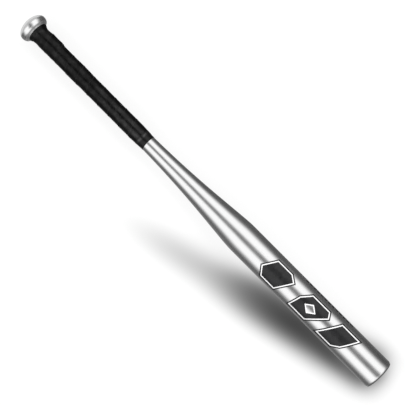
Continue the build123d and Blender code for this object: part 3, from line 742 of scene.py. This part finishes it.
def strip_light_group():
    """Brightness of the studio seen in a direction: two long soft boxes either side of a dimmer gap overhead."""
    g = bpy.data.node_groups.new("strip_light", "ShaderNodeTree")
    g.interface.new_socket("Direction", in_out="INPUT", socket_type="NodeSocketVector")
    g.interface.new_socket("Brightness", in_out="OUTPUT", socket_type="NodeSocketFloat")
    gi, go_ = g.nodes.new("NodeGroupInput"), g.nodes.new("NodeGroupOutput")
    sep = g.nodes.new("ShaderNodeSeparateXYZ")
    g.links.new(gi.outputs[0], sep.inputs[0])
    neg = g.nodes.new("ShaderNodeMath")
    neg.operation = "MULTIPLY"
    neg.inputs[1].default_value = -1.0
    g.links.new(sep.outputs[1], neg.inputs[0])
    at = g.nodes.new("ShaderNodeMath")
    at.operation = "ARCTAN2"
    g.links.new(neg.outputs[0], at.inputs[0])
    g.links.new(sep.outputs[2], at.inputs[1])
    mr = g.nodes.new("ShaderNodeMapRange")
    # towards the barrel's end the boxes stand slightly askew
    def op(kind, a, b=0.0, c=0.0):
        n = g.nodes.new("ShaderNodeMath")
        n.operation = kind
        for v, sock in zip((a, b, c), n.inputs):
            if isinstance(v, (int, float)):
                sock.default_value = v
            else:
                g.links.new(v, sock)
        return n.outputs[0]

    def table(value, points):
        """Piecewise-linear curve: points are (input, output)."""
        total = points[0][1]
        for (x0, y0), (x1, y1) in zip(points, points[1:]):
            n = g.nodes.new("ShaderNodeMapRange")
            g.links.new(value, n.inputs[0])
            for k, v in enumerate((x0, x1, 0.0, y1 - y0)):
                n.inputs[k + 1].default_value = v
            total = op("ADD", total, n.outputs[0])
        return total

    # seen along the bat the boxes turn and spread a little, so the angle is corrected by where the ray heads
    along = sep.outputs[0]
    skew = table(along, [(0.0, 0.0), (0.15, 3.6), (0.26, 6.0), (0.34, 0.0)])
    ahead, behind = table(along, [(0.0, 0.0), (0.16, 1.0)]), table(along, [(-0.15, 1.0), (-0.03, 0.0)])
    ang = op("SUBTRACT", at.outputs[0], op("MULTIPLY", skew, math.radians(1.0)))
    ang = op("MULTIPLY", ang, op("MULTIPLY_ADD", behind, 0.055, 1.0))
    ang = op("ADD", ang, op("MULTIPLY", op("MINIMUM", ang, 0.0), op("MULTIPLY", ahead, 0.07)))
    near = op("EXPONENT", op("MULTIPLY", op("MULTIPLY", ang, ang), -1.0 / 0.5 ** 2))
    spread = table(along, [(0.0, 0.0), (0.16, 1.0), (0.19, 1.0), (0.27, -0.5)])
    ang = op("MULTIPLY", ang, op("SUBTRACT", 1.0, op("MULTIPLY", near, op("MULTIPLY", spread, 0.46))))
    mr.inputs[1].default_value, mr.inputs[2].default_value = -math.pi, math.pi
    mr.inputs[3].default_value, mr.inputs[4].default_value = 0.0, 1.0
    g.links.new(ang, mr.inputs[0])
    ramp = g.nodes.new("ShaderNodeValToRGB")
    stops = [(-180, 0.12), (-150, 0.085), (-125, 0.072), (-108, 0.074), (-97, 0.088), (-86, 0.18), (-76, 0.40), (-67, 0.74), (-60, 0.94), (-53, 1.0),
             (-25, 1.0), (-19, 0.86), (-12.5, 0.46), (-6, 0.24), (2, 0.165), (9, 0.21), (16, 0.44), (22, 0.84), (28, 1.0),
             (60, 1.0), (68, 0.90), (76, 0.66), (84, 0.38), (92, 0.20), (101, 0.11), (112, 0.085), (124, 0.095), (140, 0.14), (160, 0.20), (180, 0.22)]
    el = ramp.color_ramp.elements
    while len(el) > 1:
        el.remove(el[-1])
    for i, (deg, v) in enumerate(stops):
        pos = (deg + 180) / 360
        e = el[0] if i == 0 else el.new(pos)
        e.position = pos
        e.color = (v, v, v, 1.0)
    g.links.new(mr.outputs[0], ramp.inputs[0])
    # past the ends of the boxes there is only the pale room
    last = ramp.outputs[0]
    for x0, x1, most, level in ((-0.32, -0.64, 0.85, 0.46), (0.46, 1.0, 0.85, 0.30)):
        ends = g.nodes.new("ShaderNodeMapRange")
        ends.interpolation_type = "SMOOTHSTEP"
        lo, hi = min(x0, x1), max(x0, x1)
        ends.inputs[1].default_value, ends.inputs[2].default_value = lo, hi
        ends.inputs[3].default_value, ends.inputs[4].default_value = (0.0, most) if x1 > x0 else (most, 0.0)
        g.links.new(sep.outputs[0], ends.inputs[0])
        mix = g.nodes.new("ShaderNodeMix")
        mix.data_type = "FLOAT"
        g.links.new(ends.outputs[0], mix.inputs[0])
        g.links.new(last, mix.inputs[2])
        mix.inputs[3].default_value = level
        last = mix.outputs[0]
    side = op("MULTIPLY", op("MAXIMUM", spread, 0.0), table(ang, [(-2.50, 0.0), (-2.30, 0.21), (-1.75, 0.21), (-1.45, 0.0), (-0.22, 0.0), (-0.06, 0.20), (0.12, 0.20), (0.28, 0.0)]))
    last = op("MULTIPLY", last, op("SUBTRACT", 1.0, side))
    fill = op("MULTIPLY", table(along, [(0.20, 0.0), (0.34, 0.46), (0.50, 0.46), (0.70, 0.2)]), table(sep.outputs[2], [(0.70, 0.0), (0.92, 1.0)]))
    last = op("MAXIMUM", last, fill)
    # low down past the knob the white floor shows
    low = g.nodes.new("ShaderNodeMapRange")
    low.interpolation_type = "SMOOTHSTEP"
    low.inputs[1].default_value, low.inputs[2].default_value = 0.30, -0.35
    low.inputs[3].default_value, low.inputs[4].default_value = 0.0, 1.0
    g.links.new(sep.outputs[2], low.inputs[0])
    far = g.nodes.new("ShaderNodeMapRange")
    far.interpolation_type = "SMOOTHSTEP"
    far.inputs[1].default_value, far.inputs[2].default_value = -0.45, -0.85
    far.inputs[3].default_value, far.inputs[4].default_value = 0.0, 1.0
    g.links.new(sep.outputs[0], far.inputs[0])
    both = g.nodes.new("ShaderNodeMath")
    both.operation = "MULTIPLY"
    g.links.new(low.outputs[0], both.inputs[0])
    g.links.new(far.outputs[0], both.inputs[1])
    mix = g.nodes.new("ShaderNodeMix")
    mix.data_type = "FLOAT"
    g.links.new(both.outputs[0], mix.inputs[0])
    g.links.new(last, mix.inputs[2])
    mix.inputs[3].default_value = 0.54
    last = mix.outputs[0]
    gain = g.nodes.new("ShaderNodeMath")
    gain.operation = "MULTIPLY"
    gain.inputs[1].default_value = 1.52
    g.links.new(last, gain.inputs[0])
    g.links.new(gain.outputs[0], go_.inputs[0])
    return g


STRIP = strip_light_group()

world = bpy.data.worlds.new("studio")
scene.world = world
world.use_nodes = True
wt = world.node_tree
wt.nodes.clear()
w_out = wt.nodes.new("ShaderNodeOutputWorld")
bg_cam, bg_soft, bg_gloss = (wt.nodes.new("ShaderNodeBackground") for _ in range(3))
bg_cam.inputs[0].default_value = (1.0, 1.0, 1.0, 1.0)
bg_cam.inputs[1].default_value = 1.0
bg_soft.inputs[0].default_value = (1.0, 1.0, 1.0, 1.0)
bg_soft.inputs[1].default_value = 0.95
w_tc = wt.nodes.new("ShaderNodeTexCoord")
w_grp = wt.nodes.new("ShaderNodeGroup")
w_grp.node_tree = STRIP
wt.links.new(w_tc.outputs["Generated"], w_grp.inputs[0])
wt.links.new(w_grp.outputs[0], bg_gloss.inputs[1])
w_lp = wt.nodes.new("ShaderNodeLightPath")
mix1, mix2 = wt.nodes.new("ShaderNodeMixShader"), wt.nodes.new("ShaderNodeMixShader")
wt.links.new(w_lp.outputs["Is Glossy Ray"], mix1.inputs[0])
wt.links.new(bg_soft.outputs[0], mix1.inputs[1])
wt.links.new(bg_gloss.outputs[0], mix1.inputs[2])
wt.links.new(w_lp.outputs["Is Camera Ray"], mix2.inputs[0])
wt.links.new(mix1.outputs[0], mix2.inputs[1])
wt.links.new(bg_cam.outputs[0], mix2.inputs[2])
wt.links.new(mix2.outputs[0], w_out.inputs[0])
world.cycles.sampling_method = "NONE"

# Floor: pale, at the height the bat rests on.
floor_z = cad_lo[2] / MM
bm = bmesh.new()
bmesh.ops.create_grid(bm, x_segments=8, y_segments=8, size=12.0)
floor_mesh = bpy.data.meshes.new("studio_floor")
bm.to_mesh(floor_mesh)
bm.free()
floor = bpy.data.objects.new("studio_floor", floor_mesh)
scene.collection.objects.link(floor)
floor.location = (0.4, 0.0, floor_z * MM - 0.00005)

f = Shader("studio_floor_painted_shadow")
geo = f.nt.nodes.new("ShaderNodeNewGeometry")
pos = f.vec("SCALE", geo.outputs["Position"], scale=1000.0)
px, py, pz = f.xyz(pos)[:3]
# a painted soft shadow that leaves the barrel's end and fades towards the handle, as a few overlapping soft ovals:
# strength, centre x, centre y, half-length, half-width, turn
OVALS = [(0.815, 600.6, -33.5, 78.0, 19.9, 0.336), (0.722, 698.4, -39.0, 76.0, 25.5, 0.011), (1.099, 751.9, -30.4, 47.7, 16.8, 0.041),
         (2.097, 796.5, -3.7, 26.2, 26.5, 0.601), (0.385, 452.7, -90.6, 87.0, 25.8, 0.252), (0.917, 718.6, -3.2, 69.6, 17.4, 0.356),
         (1.945, 641.0, -50.2, 104.6, 27.4, 0.235)]
dark = 0.0
for strength, cx, cy, sx, sy, turn in OVALS:
    dx, dy = f.math("SUBTRACT", px, cx), f.math("SUBTRACT", py, cy)
    c, n = math.cos(turn), math.sin(turn)
    du = f.math("ADD", f.math("MULTIPLY", dx, c / sx), f.math("MULTIPLY", dy, n / sx))
    dv = f.math("ADD", f.math("MULTIPLY", dx, -n / sy), f.math("MULTIPLY", dy, c / sy))
    r2 = f.math("ADD", f.math("MULTIPLY", du, du), f.math("MULTIPLY", dv, dv))
    dark = f.math("ADD", dark, f.math("MULTIPLY", f.math("EXPONENT", f.math("MULTIPLY", r2, -1.0)), strength))
shade = f.math("EXPONENT", f.math("MULTIPLY", dark, -1.0))
grain = f.noise(pos, 0.01, 2.0, 0.5)
# the floor's colour carries the painted shadow
shadowed_floor_colour = f.math("MULTIPLY", shade, f.range(grain, 0.3, 0.7, 0.21, 0.215))
f.set(Base_Color=f.combine(shadowed_floor_colour, shadowed_floor_colour, shadowed_floor_colour), Roughness=0.9)
f.set(**{"Specular_IOR_Level": 0.0})
# seen in reflections the floor is swapped for a glow with the studio's light pattern: a painted reflection
reflected_studio_glow = f.nt.nodes.new("ShaderNodeEmission")
grp = f.nt.nodes.new("ShaderNodeGroup")
grp.node_tree = STRIP
f.link(f.vec("SCALE", geo.outputs["Incoming"], scale=-1.0), grp.inputs[0])
f.link(grp.outputs[0], reflected_studio_glow.inputs[1])
lp = f.nt.nodes.new("ShaderNodeLightPath")
# to the camera the floor also glows, and the painted shadow darkens that glow too
painted_shadow_glow = f.nt.nodes.new("ShaderNodeEmission")
f.link(f.combine(shade, shade, shade), painted_shadow_glow.inputs[0])
f.link(f.math("MULTIPLY", lp.outputs["Is Camera Ray"], 0.757), painted_shadow_glow.inputs[1])
lit = f.nt.nodes.new("ShaderNodeAddShader")
f.nt.links.new(f.bsdf.outputs[0], lit.inputs[0])
f.nt.links.new(painted_shadow_glow.outputs[0], lit.inputs[1])
mixs = f.nt.nodes.new("ShaderNodeMixShader")
f.link(lp.outputs["Is Glossy Ray"], mixs.inputs[0])
f.nt.links.new(lit.outputs[0], mixs.inputs[1])
f.nt.links.new(reflected_studio_glow.outputs[0], mixs.inputs[2])
f.nt.links.new(mixs.outputs[0], f.out.inputs[0])
floor_mesh.materials.append(f.mat)

# Two soft boxes, for diffuse light and contact shadow only.
for name, loc, power in (("softbox_right", (0.40, 1.10, 1.45), 16.0), ("softbox_left", (0.40, -1.20, 1.35), 13.0)):
    data = bpy.data.lights.new(name, "AREA")
    data.shape = "RECTANGLE"
    data.size, data.size_y = 1.6, 0.8
    data.energy = power
    lamp = bpy.data.objects.new(name, data)
    scene.collection.objects.link(lamp)
    lamp.location = loc
    aim = Vector((0.42, 0.0, 0.0)) - Vector(loc)
    lamp.rotation_euler = aim.to_track_quat("-Z", "Y").to_euler()
    lamp.visible_glossy = False
    lamp.visible_camera = False

# ------------------------------------------------------------------ camera
cam_data = bpy.data.cameras.new("camera")
cam_data.sensor_width = 36.0
cam_data.lens = 36.0 * 955.0 / 405.0
cam = bpy.data.objects.new("camera", cam_data)
scene.collection.objects.link(cam)
right = Vector((0.70344114, 0.70856565, -0.05571223)).normalized()
down = Vector((0.70640892, -0.70564372, -0.05524462))
down = (down - right * down.dot(right)).normalized()
ROLL = 0.0008
right, down = right * math.cos(ROLL) - down * math.sin(ROLL), right * math.sin(ROLL) + down * math.cos(ROLL)
fwd = right.cross(down).normalized()
rot = Matrix((right, -down, -fwd)).transposed()
cam.matrix_world = Matrix.Translation(Vector((0.54110362, -0.00420900, 1.55030536))) @ rot.to_4x4()
scene.camera = cam
cam_data.shift_x, cam_data.shift_y = -0.00147, 0.00100
